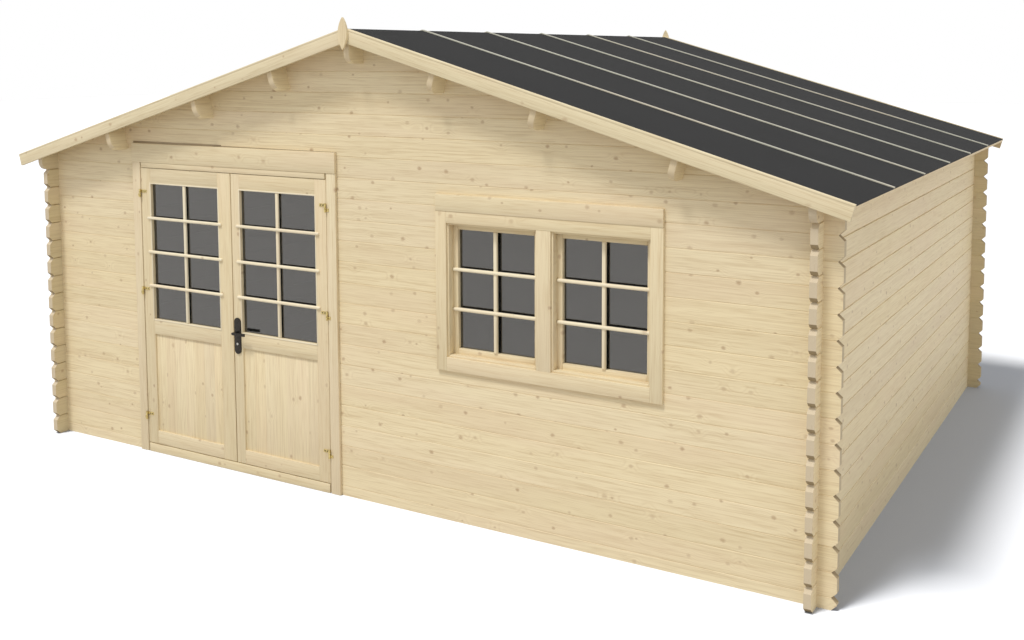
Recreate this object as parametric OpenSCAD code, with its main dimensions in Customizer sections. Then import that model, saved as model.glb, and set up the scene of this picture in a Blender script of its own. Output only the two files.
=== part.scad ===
// Wooden garden house of notched wall boards, millimetres.
// Front faces -Y, +X to the right seen from the front, Z up from the ground.

/* [Walls] */
// visible height of one wall board
board_h = 135; // [110:1:150]
// whole boards under the long top board of a side wall
board_rows = 15; // [12:1:18]
// thickness of the wall boards
wall_t = 40; // [28:1:60]
// half the distance between the middles of the side walls
half_w = 2895; // [2400:5:3400]
// outer face of the front wall to outer face of the back wall
depth = 4680; // [3600:10:5600]
// how far the crossing board ends stand past the walls
end_out = 104; // [70:1:150]
// depth of the chamfers at the joints of the board ends
end_notch = 30; // [8:1:40]
// height of each of those chamfers
end_chamfer = 28; // [6:1:40]

/* [Roof] */
// slope of the roof in degrees
slope = 16.1; // [10:0.1:25]
// height of a side wall's long top board at its middle
top_board_h = 147; // [110:1:200]
// how far the roof stands out past the side walls
side_out = 196; // [130:1:300]
// front face of a bargeboard to the wall behind it
gable_out = 165; // [135:1:220]
// thickness of the bargeboards
barge_t = 20; // [14:1:30]
// width of the bargeboards
barge_h = 90; // [70:1:140]
// how far the bargeboards stand over the felt
barge_lip = 6; // [2:1:12]
// thickness of the felt
felt_t = 4; // [2:1:8]
// thickness of the roof boards
deck_t = 18; // [14:1:28]
// play between the roof boards, the side purlins and what carries them
seat_gap = 0.05; // [0.02:0.01:0.2]
// width of a felt batten
batten_w = 20; // [12:1:40]
// height of a felt batten
batten_t = 8; // [6:1:20]
// battens on each slope
batten_n = 5; // [3:1:7]

/* [Purlins] */
// thickness of a purlin
purlin_t = 40; // [30:1:70]
// underside of a purlin below the bargeboards' top edge
purlin_drop = 220; // [160:1:240]
// rounding of a purlin end's lower corner
purlin_round = 62; // [20:1:90]
// places of the side purlins on the roof's surface, as shares of half_w from the ridge
purlin_at = [0.2266, 0.4632, 0.7558];

/* [Finials] */
// width of a finial
finial_w = 68; // [50:1:100]
// height of a finial
finial_h = 200; // [150:1:240]
// thickness of a finial
finial_t = 18; // [12:1:30]
// top of a finial over the bargeboards' top edge
finial_over = 63; // [40:1:90]

/* [Door] */
// middle of the doorway, as a share of half_w to the left of the ridge
door_at = 0.3907; // [0.36:0.0001:0.42]
// doorway between the jambs
door_w = 1698; // [1500:1:1760]
// top of the door frame over the joint under the gable
door_rise = 22.5; // [10:0.5:60]
// width of the frame's front face
trim_w = 75; // [60:1:90]
// how far the frame laps over the wall boards
trim_lap = 37; // [20:1:45]
// how far the frames stand in front of the wall
trim_out = 20; // [14:1:30]
// depth of the door frame behind the wall's outer face
jamb_in = 70; // [60:1:90]
// height of the threshold
sill_h = 61; // [45:1:66]
// width of the stop behind the leaves
stop_w = 12; // [8:1:20]
// height of the door head
head_h = 38; // [30:1:60]
// line where the leaves meet, from the middle of the doorway
meet_off = 17; // [0:1:40]
// gap between the leaves
meet_gap = 8; // [7:1:12]
// gap round the leaves
leaf_gap = 6; // [5:1:10]
// thickness of a leaf
leaf_t = 40; // [34:1:46]
// front face of a leaf behind the frame's front face
leaf_set = 4; // [2:1:10]
// stiles at the jambs
stile_w = 94; // [80:1:110]
// stile of the left leaf at the meeting line
stile_l = 118; // [90:1:130]
// stile of the right leaf at the meeting line
stile_r = 76; // [70:1:100]
// height of the bottom rail
rail_low = 96; // [80:1:120]
// underside of the middle rail
rail_mid = 878; // [800:1:900]
// top of the middle rail
pane_low = 987; // [950:1:1020]
// height of the top rail
rail_top = 109; // [80:1:130]
// front face of a leaf to its pane
pane_set = 22; // [15:1:26]
// thickness of the panes
pane_t = 6; // [4:1:8]
// front face of a leaf to its panel
panel_set = 20; // [5:1:24]
// thickness of a panel
panel_t = 12; // [8:1:16]
// depth of the grooves that hold panes and panels
groove = 10; // [6:1:14]

/* [Door fittings] */
// lowest hinge over the underside of its leaf
hinge_low = 200; // [150:1:300]
// middle hinge over the underside of its leaf
hinge_mid = 1121; // [900:1:1200]
// highest hinge under the top of its leaf
hinge_top = 178; // [150:1:300]
// diameter of a hinge pin
pin_d = 8; // [6:0.5:10]
// diameter of a hinge knuckle
knuckle_d = 14; // [12:0.5:18]
// height of half a hinge
knuckle_h = 29; // [20:1:40]
// hinge pin in front of the frame's face
pin_out = 9; // [8:1:14]
// length of the hinge arm on the leaf
hinge_arm = 56; // [50:1:88]
// length of the hinge arm on the jamb
hinge_jamb_arm = 24; // [18:1:34]
// height of a hinge arm
hinge_arm_h = 20; // [14:1:26]
// thickness of a hinge arm
hinge_arm_t = 3; // [2:0.5:3]
// from the middle of a hinge to the nearer edge of its arms
hinge_arm_off = 5; // [3:1:8]
// thickness of the web between a knuckle and its arm
hinge_web = 6; // [4:1:8]
// gap that each half of a hinge leaves at its middle
knuckle_gap = 0.5; // [0.3:0.1:1]
// play of a hinge pin
pin_play = 0.1; // [0.1:0.05:0.3]
// middle of the handle, from the right leaf's meeting edge
handle_in = 35; // [30:1:40]
// height of the lever
lever_z = 985; // [900:1:1050]
// width of the handle plate
plate_w = 56; // [40:1:58]
// height of the handle plate
plate_h = 250; // [200:1:280]
// lever over the plate's lower end
plate_low = 150; // [100:1:170]
// thickness of the handle plate
plate_t = 8; // [4:1:12]
// diameter of the lever's spindle
spindle_d = 9; // [7:0.5:10]
// play of the spindle
spindle_play = 0.2; // [0.1:0.05:0.4]
// length of the lever from its spindle
lever_len = 105; // [80:1:130]
// middle of the lever's bar in front of the plate
lever_out = 44; // [36:1:55]
// height of the lever's bar
lever_h = 18; // [12:1:24]
// thickness of the lever's bar
lever_t = 12; // [8:1:16]
// gap between the lever's hub and the plate
lever_gap = 2; // [1:0.5:4]

/* [Window] */
// middle of the window, as a share of half_w to the right of the ridge
win_at = 0.4511; // [0.42:0.0001:0.48]
// width of one opening between frame and post
win_w = 622; // [500:1:680]
// width of the middle post
post_w = 95; // [70:1:120]
// underside of the window frame
win_low = 950; // [900:1:1000]
// lower edge of the openings
win_sill = 1035; // [1010:1:1080]
// height of the frame over the openings
win_rail = 72; // [50:1:90]
// top of the window frame under the joint below the gable
win_under = 160.5; // [110:0.5:200]
// depth of the window frame behind the wall's outer face
win_in = 85; // [75:1:100]
// front face of a sash behind the wall's outer face
sash_set = 45; // [30:1:50]
// width of the sash bars
sash_w = 45; // [36:1:60]
// front face of a sash to its pane
sash_pane = 26; // [10:1:30]

/* [Header boards] */
// thickness of the header boards
header_t = 24; // [18:1:30]
// height of the board over the door
header_door = 135; // [90:1:150]
// height of the board over the window
header_win = 102; // [80:1:140]

/* [Floor] */
// height of the bearers
bearer_h = 38; // [30:1:45]
// width of a bearer
bearer_w = 60; // [40:1:90]
// number of bearers
bearer_n = 9; // [5:2:13]
// thickness of the floor boards
floor_t = 20; // [16:1:28]
// gap between floor and walls
floor_gap = 10; // [5:1:20]

/* [Hidden] */
$fn = 48;
eps = 1;
front_y = -depth / 2;
back_y = depth / 2;
in_x = half_w - wall_t / 2;
out_x = half_w + wall_t / 2;
end_x = out_x + end_out;
end_y = depth / 2 + end_out;
barge_y = depth / 2 + gable_out - barge_t;
under_d = barge_lip + felt_t + deck_t;
seat_d = under_d + seat_gap;
gable_z = (board_rows + 0.5) * board_h;
top_board_z = board_rows * board_h;
ridge_z = top_board_z + top_board_h + half_w * tan(slope) + under_d / cos(slope);
eave_x = out_x + side_out;
purlin_x = [for (a = purlin_at) round(half_w * a)];
purlin_deep = purlin_drop * cos(slope);
door_x = -round(half_w * door_at);
door_top = gable_z + door_rise;
head_z = door_top - head_h;
meet_x = door_x + meet_off;
win_x = round(half_w * win_at);
win_top = gable_z - win_under;
win_head = win_top - win_rail;
jamb_l = door_x - door_w / 2;
jamb_r = door_x + door_w / 2;
open_l = jamb_l - trim_w + trim_lap;
open_r = jamb_r + trim_w - trim_lap;
frame_y = front_y - trim_out;
leaf_y = frame_y + leaf_set;
leaf_low = sill_h + leaf_gap;
leaf_top = head_z - leaf_gap;
left_x0 = jamb_l + leaf_gap;
left_x1 = meet_x - meet_gap / 2;
right_x0 = meet_x + meet_gap / 2;
right_x1 = jamb_r - leaf_gap;
pane_top = leaf_top - rail_top;
hinge_z = [leaf_low + hinge_low, leaf_low + hinge_mid, leaf_top - hinge_top];
win_half = win_w + post_w / 2;
win_l = win_x - win_half - trim_w;
win_r = win_x + win_half + trim_w;
sash_y = front_y + sash_set;
handle_x = right_x0 + handle_in;
plate_z0 = lever_z - plate_low + plate_w / 2;
plate_z1 = lever_z - plate_low + plate_h - plate_w / 2;
pin_y = frame_y - pin_out;

function roof_z(x, d) = ridge_z - abs(x) * tan(slope) - d / cos(slope);
function eave(d, s) = [s * (eave_x - d * sin(slope)), roof_z(eave_x, 0) - d * cos(slope)];
function layer(d0, d1, s) = [[0, roof_z(0, d0)], [0, roof_z(0, d1)], eave(d1, s), eave(d0, s)];
function rev(a) = [for (i = [len(a) - 1:-1:0]) a[i]];
function chamfer_up(e, s, z) = [[e - s * end_notch, z], [e, z + end_chamfer]];
function chamfer_down(e, s, z) = [[e, z - end_chamfer]];
function board_ends(e, s, z0, z1) = concat(chamfer_up(e, s, z0),
    [for (z = [z0 + (z0 == 0 ? board_h / 2 : board_h):board_h:z1 - 1])
        each concat(chamfer_down(e, s, z), chamfer_up(e, s, z))],
    chamfer_down(e, s, z1), [[e - s * end_notch, z1]]);
function round_end(s, z) = [for (a = [0:18:90])
    [s * (barge_y - purlin_round * (1 - sin(a))), z + purlin_round * (1 - cos(a))]];
function side_ends(s) = concat(chamfer_up(s * end_y, s, 0),
    [for (i = [1:board_rows - 1])
        each concat(chamfer_down(s * end_y, s, i * board_h), chamfer_up(s * end_y, s, i * board_h))],
    chamfer_down(s * end_y, s, top_board_z),
    [[s * (end_y - end_notch), top_board_z]], round_end(s, top_board_z));

module slab_y(y0, y1, pts) translate([0, y1, 0]) rotate([90, 0, 0]) linear_extrude(y1 - y0) polygon(pts);
module slab_x(x0, x1, pts) translate([x0, 0, 0]) rotate([90, 0, 90]) linear_extrude(x1 - x0) polygon(pts);
module block(a, b) translate(a) cube([b[0] - a[0], b[1] - a[1], b[2] - a[2]]);

// Half laps where a front or back wall crosses the side walls: the side boards lie in these cuts.
module front_laps(y0) for (s = [-1, 1], i = [0:board_rows])
    block([s * half_w - wall_t / 2, y0 - eps, (i + 0.25) * board_h],
          [s * half_w + wall_t / 2, y0 + wall_t + eps, (i + 0.75) * board_h]);

// Where a side purlin is set: square to the roof, with 0 on the bargeboards' top edge.
module square_to_roof(x, s) translate([s * x, 0, roof_z(x, 0)]) rotate([0, s * slope, 0]) children();

module purlin_slots(y0) {
    block([-purlin_t / 2, y0 - eps, ridge_z - purlin_drop], [purlin_t / 2, y0 + wall_t + eps, ridge_z]);
    for (x = purlin_x, s = [-1, 1]) square_to_roof(x, s)
        block([-purlin_t / 2 - seat_gap, y0 - eps, -purlin_deep - seat_gap],
              [purlin_t / 2 + seat_gap, y0 + wall_t + eps, 0]);
}

module front_wall_left() color("BurlyWood") difference() {
    slab_y(front_y, front_y + wall_t,
           concat([[open_l, gable_z], [open_l, 0]], board_ends(-end_x, -1, 0, gable_z)));
    front_laps(front_y);
}

module front_wall_middle() color("BurlyWood")
    block([open_r, front_y, 0], [win_l + trim_lap, front_y + wall_t, gable_z]);

module front_wall_under_window() color("BurlyWood")
    block([win_l + trim_lap, front_y, 0], [win_r - trim_lap, front_y + wall_t, win_low + trim_lap]);

module front_wall_over_window() color("BurlyWood")
    block([win_l + trim_lap, front_y, win_top - trim_lap], [win_r - trim_lap, front_y + wall_t, gable_z]);

module front_wall_right() color("BurlyWood") difference() {
    slab_y(front_y, front_y + wall_t,
           concat([[win_r - trim_lap, gable_z], [win_r - trim_lap, 0]], board_ends(end_x, 1, 0, gable_z)));
    front_laps(front_y);
}

module front_gable() color("BurlyWood") difference() {
    slab_y(front_y, front_y + wall_t, concat(
        chamfer_up(end_x, 1, gable_z), [[end_x, roof_z(end_x, seat_d)], [0, roof_z(0, seat_d)],
        [-end_x, roof_z(end_x, seat_d)]], rev(chamfer_up(-end_x, -1, gable_z))));
    front_laps(front_y);
    purlin_slots(front_y);
    block([open_l, front_y - eps, gable_z - eps], [open_r, front_y + wall_t + eps, door_top]);
}

// Side wall: notched boards, and a long top board cut to the roof's slope.
module side_wall(s) difference() {
    intersection() {
        slab_x(s * half_w - wall_t / 2, s * half_w + wall_t / 2,
               concat(side_ends(1), [[barge_y, ridge_z], [-barge_y, ridge_z]], rev(side_ends(-1))));
        slab_y(-barge_y, barge_y, [[s * in_x, 0], [s * out_x, 0], [s * out_x, roof_z(out_x, seat_d)],
                                   [s * in_x, roof_z(in_x, seat_d)]]);
    }
    for (y0 = [front_y, back_y - wall_t], i = [-1:board_rows])
        block([s * half_w - wall_t, y0, (i + 0.75) * board_h],
              [s * half_w + wall_t, y0 + wall_t, (i + 1.25) * board_h]);
}

module left_wall() color("Wheat") side_wall(-1);

module right_wall() color("Wheat") side_wall(1);

module back_wall() color("Wheat") difference() {
    slab_y(back_y - wall_t, back_y, concat(
        board_ends(end_x, 1, 0, gable_z), chamfer_up(end_x, 1, gable_z), [[end_x, roof_z(end_x, seat_d)],
        [0, roof_z(0, seat_d)], [-end_x, roof_z(end_x, seat_d)]], rev(chamfer_up(-end_x, -1, gable_z)),
        rev(board_ends(-end_x, -1, 0, gable_z))));
    front_laps(back_y - wall_t);
    purlin_slots(back_y - wall_t);
}

// One purlin, rounded at the lower corner of both ends.
module purlin(low, top) slab_x(-purlin_t / 2, purlin_t / 2, concat(
    round_end(1, low), [[barge_y, top], [-barge_y, top]], rev(round_end(-1, low))));

module ridge_purlin() color("BurlyWood") intersection() {
    purlin(ridge_z - purlin_drop, ridge_z);
    slab_y(-barge_y, barge_y, [[-purlin_t, 0], [purlin_t, 0], [purlin_t, roof_z(purlin_t, seat_d)],
                               [0, roof_z(0, seat_d)], [-purlin_t, roof_z(purlin_t, seat_d)]]);
}

module side_purlins() color("BurlyWood") for (x = purlin_x, s = [-1, 1])
    square_to_roof(x, s) purlin(-purlin_deep, -seat_d);

module roof_boards(s) slab_y(-barge_y, barge_y, layer(barge_lip + felt_t, under_d, s));

module roof_boards_left() color("Wheat") roof_boards(-1);

module roof_boards_right() color("Wheat") roof_boards(1);

module felt(s) slab_y(-barge_y, barge_y, layer(barge_lip, barge_lip + felt_t, s));

module roofing_felt_left() color("DimGray") felt(-1);

module roofing_felt_right() color("DimGray") felt(1);

module battens(s) for (i = [1:batten_n]) {
    y = -barge_y + 2 * barge_y * i / (batten_n + 1);
    slab_y(y - batten_w / 2, y + batten_w / 2, layer(barge_lip - batten_t, barge_lip, s));
}

module roof_battens_left() color("Wheat") battens(-1);

module roof_battens_right() color("Wheat") battens(1);

module bargeboards(s) for (y = [-barge_y - barge_t, barge_y]) slab_y(y, y + barge_t, layer(0, barge_h, s));

module bargeboards_left() color("Wheat") bargeboards(-1);

module bargeboards_right() color("Wheat") bargeboards(1);

// Outline of a pointed finial: the lens where two circles overlap.
module finial_outline() {
    r = (finial_h * finial_h + finial_w * finial_w) / (4 * finial_w);
    intersection() {
        translate([r - finial_w / 2, 0]) circle(r, $fn = 96);
        translate([finial_w / 2 - r, 0]) circle(r, $fn = 96);
    }
}

module finials() color("Wheat") for (y = [-barge_y - barge_t, barge_y + barge_t + finial_t])
    translate([0, y, ridge_z + finial_over - finial_h / 2]) rotate([90, 0, 0])
        linear_extrude(finial_t) finial_outline();

// Jamb: grooved over the ends of the wall boards, with a stop behind the leaf.
module jamb(x, s) linear_extrude(door_top) polygon([
    [x - s * trim_w, frame_y], [x, frame_y], [x, leaf_y + leaf_t + leaf_gap],
    [x + s * stop_w, leaf_y + leaf_t + leaf_gap], [x + s * stop_w, front_y + jamb_in],
    [x - s * trim_w, front_y + jamb_in], [x - s * trim_w, front_y + wall_t],
    [x - s * (trim_w - trim_lap), front_y + wall_t], [x - s * (trim_w - trim_lap), front_y],
    [x - s * trim_w, front_y]]);

module door_jamb_left() color("Moccasin") jamb(jamb_l, 1);

module door_jamb_right() color("Moccasin") jamb(jamb_r, -1);

module door_head() color("Moccasin") slab_x(jamb_l + stop_w, jamb_r - stop_w, [
    [frame_y, head_z], [leaf_y + leaf_t + leaf_gap, head_z], [leaf_y + leaf_t + leaf_gap, head_z - stop_w],
    [front_y + jamb_in, head_z - stop_w], [front_y + jamb_in, door_top], [frame_y, door_top]]);

module door_threshold() color("Moccasin")
    block([jamb_l + stop_w, frame_y, 0], [jamb_r - stop_w, front_y + jamb_in, sill_h]);

module door_header_board() color("Moccasin") block([jamb_l - trim_w, front_y - header_t, door_top],
    [jamb_r + trim_w, front_y, door_top + header_door]);

// Leaf frame: stiles and rails grooved for the pane and the lower panel.
module leaf_frame(x0, x1, w0, w1) difference() {
    block([x0, leaf_y, leaf_low], [x1, leaf_y + leaf_t, leaf_top]);
    block([x0 + w0, leaf_y - eps, leaf_low + rail_low], [x1 - w1, leaf_y + leaf_t + eps, rail_mid]);
    block([x0 + w0, leaf_y - eps, pane_low], [x1 - w1, leaf_y + leaf_t + eps, pane_top]);
    leaf_panel(x0, x1, w0, w1);
    leaf_pane(x0, x1, w0, w1);
}

module leaf_panel(x0, x1, w0, w1) block(
    [x0 + w0 - groove, leaf_y + panel_set, leaf_low + rail_low - groove],
    [x1 - w1 + groove, leaf_y + panel_set + panel_t, rail_mid + groove]);

module leaf_pane(x0, x1, w0, w1) block([x0 + w0 - groove, leaf_y + pane_set, pane_low - groove],
    [x1 - w1 + groove, leaf_y + pane_set + pane_t, pane_top + groove]);

module left_door_frame() color("Moccasin") leaf_frame(left_x0, left_x1, stile_w, stile_l);

module left_door_panel() color("Wheat") leaf_panel(left_x0, left_x1, stile_w, stile_l);

module left_door_pane() color("SlateGray") leaf_pane(left_x0, left_x1, stile_w, stile_l);

// A round length through the handle, from front to back.
module rod(y0, y1, z, d) translate([handle_x, y1, z]) rotate([90, 0, 0]) cylinder(d = d, h = y1 - y0);

module spindle_hole() rod(leaf_y - leaf_t, leaf_y + 2 * leaf_t, lever_z, spindle_d + spindle_play);

module right_door_frame() color("Moccasin") difference() {
    leaf_frame(right_x0, right_x1, stile_r, stile_w);
    spindle_hole();
}

module right_door_panel() color("Wheat") leaf_panel(right_x0, right_x1, stile_r, stile_w);

module right_door_pane() color("SlateGray") leaf_pane(right_x0, right_x1, stile_r, stile_w);

// Fixed hinge half: arm on the jamb, lower knuckle and pin.
module hinge_pin(x, s, z) {
    top = z - hinge_arm_off;
    translate([x, pin_y, z - knuckle_h]) cylinder(d = knuckle_d, h = knuckle_h - knuckle_gap);
    translate([x, pin_y, z - knuckle_h]) cylinder(d = pin_d, h = 2 * knuckle_h);
    block([min(x, x - s * hinge_jamb_arm), frame_y - hinge_arm_t, top - hinge_arm_h],
          [max(x, x - s * hinge_jamb_arm), frame_y, top]);
    block([x - hinge_web / 2, pin_y, top - hinge_arm_h], [x + hinge_web / 2, frame_y, top]);
}

module door_hinge_pins() color("Goldenrod") for (z = hinge_z) {
    hinge_pin(jamb_l + leaf_gap / 2, 1, z);
    hinge_pin(jamb_r - leaf_gap / 2, -1, z);
}

// Turning hinge half: upper knuckle on the pin and an arm on the leaf.
module hinge_arm(x, s, z) difference() {
    low = z + hinge_arm_off;
    union() {
        translate([x, pin_y, z + knuckle_gap]) cylinder(d = knuckle_d, h = knuckle_h - knuckle_gap);
        block([x - hinge_web / 2, pin_y, low], [x + hinge_web / 2, leaf_y, low + hinge_arm_h]);
        block([min(x, x + s * hinge_arm), leaf_y - hinge_arm_t, low],
              [max(x, x + s * hinge_arm), leaf_y, low + hinge_arm_h]);
    }
    translate([x, pin_y, z]) cylinder(d = pin_d + pin_play, h = 2 * knuckle_h);
}

module left_door_hinges() color("Goldenrod") for (z = hinge_z) hinge_arm(jamb_l + leaf_gap / 2, 1, z);

module right_door_hinges() color("Goldenrod") for (z = hinge_z) hinge_arm(jamb_r - leaf_gap / 2, -1, z);

module door_handle_plates() color("DarkSlateGray") difference() {
    for (y = [leaf_y - plate_t, leaf_y + leaf_t]) {
        block([handle_x - plate_w / 2, y, plate_z0], [handle_x + plate_w / 2, y + plate_t, plate_z1]);
        for (z = [plate_z0, plate_z1]) rod(y, y + plate_t, z, plate_w);
    }
    spindle_hole();
}

// Lever: a spindle through the leaf with a bar on each side, pointing to the right leaf's hinges.
module door_lever() color("DarkSlateGray") {
    y0 = leaf_y - plate_t - lever_out;
    y1 = leaf_y + leaf_t + plate_t + lever_out;
    rod(y0, y1, lever_z, spindle_d);
    rod(y0, leaf_y - plate_t - lever_gap, lever_z, lever_h);
    rod(leaf_y + leaf_t + plate_t + lever_gap, y1, lever_z, lever_h);
    for (y = [y0 - lever_t / 2, y1 - lever_t / 2]) {
        rod(y, y + lever_t, lever_z, lever_h);
        block([handle_x, y, lever_z - lever_h / 2],
              [handle_x + lever_len, y + lever_t, lever_z + lever_h / 2]);
    }
}

// The opening on one side of the post, made smaller by d all round.
module opening(s, d, y0, y1) {
    middle = win_x + s * (win_w + post_w) / 2;
    block([middle - win_w / 2 + d, y0, win_sill + d], [middle + win_w / 2 - d, y1, win_head - d]);
}

// Window frame: grooved over the wall boards all round, with a post between two openings.
module window_frame() color("Moccasin") difference() {
    block([win_l, frame_y, win_low], [win_r, front_y + win_in, win_top]);
    for (s = [-1, 1]) opening(s, 0, frame_y - eps, front_y + win_in + eps);
    difference() {
        block([win_l - eps, front_y, win_low - eps], [win_r + eps, front_y + wall_t, win_top + eps]);
        block([win_l + trim_lap, front_y - eps, win_low + trim_lap],
              [win_r - trim_lap, front_y + wall_t + eps, win_top - trim_lap]);
    }
}

module sash_pane_box(s) opening(s, sash_w - groove, sash_y + sash_pane, sash_y + sash_pane + pane_t);

module window_sashes() color("Moccasin") for (s = [-1, 1]) difference() {
    opening(s, 0, sash_y, front_y + win_in);
    opening(s, sash_w, sash_y - eps, front_y + win_in + eps);
    sash_pane_box(s);
}

module window_panes() color("SlateGray") for (s = [-1, 1]) sash_pane_box(s);

module window_header_board() color("Moccasin")
    block([win_l, front_y - header_t, win_top], [win_r, front_y, win_top + header_win]);

module floor_boards() color("Wheat") block(
    [floor_gap - in_x, front_y + win_in + floor_gap, bearer_h],
    [in_x - floor_gap, back_y - wall_t - floor_gap, bearer_h + floor_t]);

module floor_bearers() color("BurlyWood") for (i = [0:bearer_n - 1]) {
    x = (i / (bearer_n - 1) - 0.5) * 2 * (in_x - floor_gap - bearer_w);
    block([x - bearer_w / 2, front_y + jamb_in, 0], [x + bearer_w / 2, back_y - wall_t, bearer_h]);
}

front_wall_left();
front_wall_middle();
front_wall_under_window();
front_wall_over_window();
front_wall_right();
front_gable();
left_wall();
right_wall();
back_wall();
ridge_purlin();
side_purlins();
roof_boards_left();
roof_boards_right();
roofing_felt_left();
roofing_felt_right();
roof_battens_left();
roof_battens_right();
bargeboards_left();
bargeboards_right();
finials();
door_jamb_left();
door_jamb_right();
door_head();
door_threshold();
door_header_board();
left_door_frame();
left_door_panel();
left_door_pane();
right_door_frame();
right_door_panel();
right_door_pane();
door_hinge_pins();
left_door_hinges();
right_door_hinges();
door_handle_plates();
door_lever();
window_frame();
window_sashes();
window_panes();
window_header_board();
floor_boards();
floor_bearers();
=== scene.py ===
import bpy
import math
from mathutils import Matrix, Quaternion, Vector


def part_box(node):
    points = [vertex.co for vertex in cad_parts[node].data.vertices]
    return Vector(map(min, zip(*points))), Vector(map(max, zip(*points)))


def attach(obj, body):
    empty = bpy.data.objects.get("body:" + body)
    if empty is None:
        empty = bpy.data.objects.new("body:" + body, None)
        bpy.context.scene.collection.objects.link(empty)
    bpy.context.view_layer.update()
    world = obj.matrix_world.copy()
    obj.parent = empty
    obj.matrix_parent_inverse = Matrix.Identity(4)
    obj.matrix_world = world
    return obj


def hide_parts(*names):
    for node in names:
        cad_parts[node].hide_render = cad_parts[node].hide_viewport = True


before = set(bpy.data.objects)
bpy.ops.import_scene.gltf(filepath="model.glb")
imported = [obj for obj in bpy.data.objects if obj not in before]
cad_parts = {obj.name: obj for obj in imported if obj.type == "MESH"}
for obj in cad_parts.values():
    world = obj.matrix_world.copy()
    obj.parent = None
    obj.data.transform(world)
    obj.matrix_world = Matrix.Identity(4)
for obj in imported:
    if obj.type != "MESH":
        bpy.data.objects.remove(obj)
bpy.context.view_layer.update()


# Floor bearers
# Sawn spruce battens that lie on the ground from front to back and carry the floor,
# with their sharp edges taken off.
def only(obj):
    """Nothing else is selected, and the next operator works on obj."""
    bpy.ops.object.select_all(action="DESELECT")
    obj.select_set(True)
    bpy.context.view_layer.objects.active = obj


def pick(obj, parts, test):
    """Edit mode, with only those vertices, edges or polygons selected that pass the test."""
    only(obj)
    mesh = obj.data
    for kind in (mesh.vertices, mesh.edges, mesh.polygons):
        kind.foreach_set("select", [False] * len(kind))
    for item in getattr(mesh, parts):
        item.select = bool(test(item))
    bpy.context.scene.tool_settings.mesh_select_mode = (
        parts == "vertices", parts == "edges", parts == "polygons")
    bpy.ops.object.mode_set(mode="EDIT")


def leave_edit():
    bpy.ops.object.mode_set(mode="OBJECT")


def from_solid(name, node):
    """A copy of a CAD solid's mesh, merged, with its flat faces made whole."""
    obj = bpy.data.objects.new(name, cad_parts[node].data.copy())
    bpy.context.scene.collection.objects.link(obj)
    obj.data.materials.clear()
    only(obj)
    bpy.ops.object.mode_set(mode="EDIT")
    bpy.ops.mesh.select_all(action="SELECT")
    bpy.ops.mesh.customdata_custom_splitnormals_clear()
    bpy.ops.mesh.remove_doubles(threshold=0.00001)
    bpy.ops.mesh.dissolve_limited(angle_limit=math.radians(0.5))
    leave_edit()
    bpy.ops.object.shade_flat()
    return obj


def ease_edges(obj, width, segments=2, sharp=30, where=None):
    """Takes the sharp edges off, as a plane or sandpaper does."""
    pick(obj, "edges", lambda edge: False)
    bpy.ops.mesh.edges_select_sharp(sharpness=math.radians(sharp))
    if where:
        leave_edit()
        chosen = [edge.index for edge in obj.data.edges if edge.select and where(
            (obj.data.vertices[edge.vertices[0]].co + obj.data.vertices[edge.vertices[1]].co) / 2)]
        pick(obj, "edges", lambda edge: edge.index in chosen)
    bpy.ops.mesh.bevel(offset=width, segments=segments, affect="EDGES", clamp_overlap=True)
    leave_edit()
    bpy.ops.object.shade_smooth_by_angle(angle=math.radians(40))
    return obj


def settle(obj, body, nodes=()):
    """The body that a piece rides on and the solids that it stands for."""
    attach(obj, body)
    if nodes:
        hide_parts(*nodes)
    return obj


def finish_piece(obj, body, materials, nodes=(), part=None):
    """Gives a piece its materials and settles it. part(face) is the number of the material
    on a face, such as 1 for end grain."""
    obj.data.materials.clear()
    for material in materials:
        obj.data.materials.append(material)
    for face in obj.data.polygons:
        face.material_index = int(part(face)) if part else 0
    return settle(obj, body, nodes)


def add_node(tree, kind, values=(), **settings):
    """One shader node: a value that is a socket is linked, any other value is set."""
    node = tree.nodes.new("ShaderNode" + kind)
    for key, value in settings.items():
        setattr(node, key, value)
    for key, value in dict(values).items():
        if isinstance(value, bpy.types.NodeSocket):
            tree.links.new(value, node.inputs[key])
        else:
            node.inputs[key].default_value = value
    return node


def calc(tree, operation, first, second=0.0, third=0.0):
    return add_node(tree, "Math", {0: first, 1: second, 2: third}, operation=operation).outputs[0]


def point(tree, x, y, z):
    return add_node(tree, "CombineXYZ", {0: x, 1: y, 2: z}).outputs[0]


def noise(tree, place, detail=2.0):
    return add_node(tree, "TexNoise", {"Vector": place, "Scale": 1.0, "Detail": detail}).outputs[0]


def ramp(tree, value, low, high, at_low=0.0, at_high=1.0):
    return add_node(tree, "MapRange", {0: value, 1: low, 2: high, 3: at_low, 4: at_high},
                    interpolation_type="SMOOTHSTEP").outputs[0]


def blend_colour(tree, factor, first, second):
    return add_node(tree, "Mix", {0: factor, 6: first, 7: second}, data_type="RGBA").outputs[2]


def group_sockets(group, inputs, outputs):
    """The sockets that a node group is given, and those of its result."""
    for in_out, sockets in (("INPUT", inputs), ("OUTPUT", outputs)):
        for name, kind in sockets:
            group.interface.new_socket(name, in_out=in_out, socket_type="NodeSocket" + kind)
    return group.nodes.new("NodeGroupInput").outputs, group.nodes.new("NodeGroupOutput").inputs


def new_material(name):
    """A material, its node tree and the inputs of its shader."""
    material = bpy.data.materials.new(name)
    material.use_nodes = True
    tree = material.node_tree
    return material, tree, tree.nodes["Principled BSDF"].inputs


def object_place(tree):
    return add_node(tree, "TexCoord").outputs["Object"]


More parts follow.
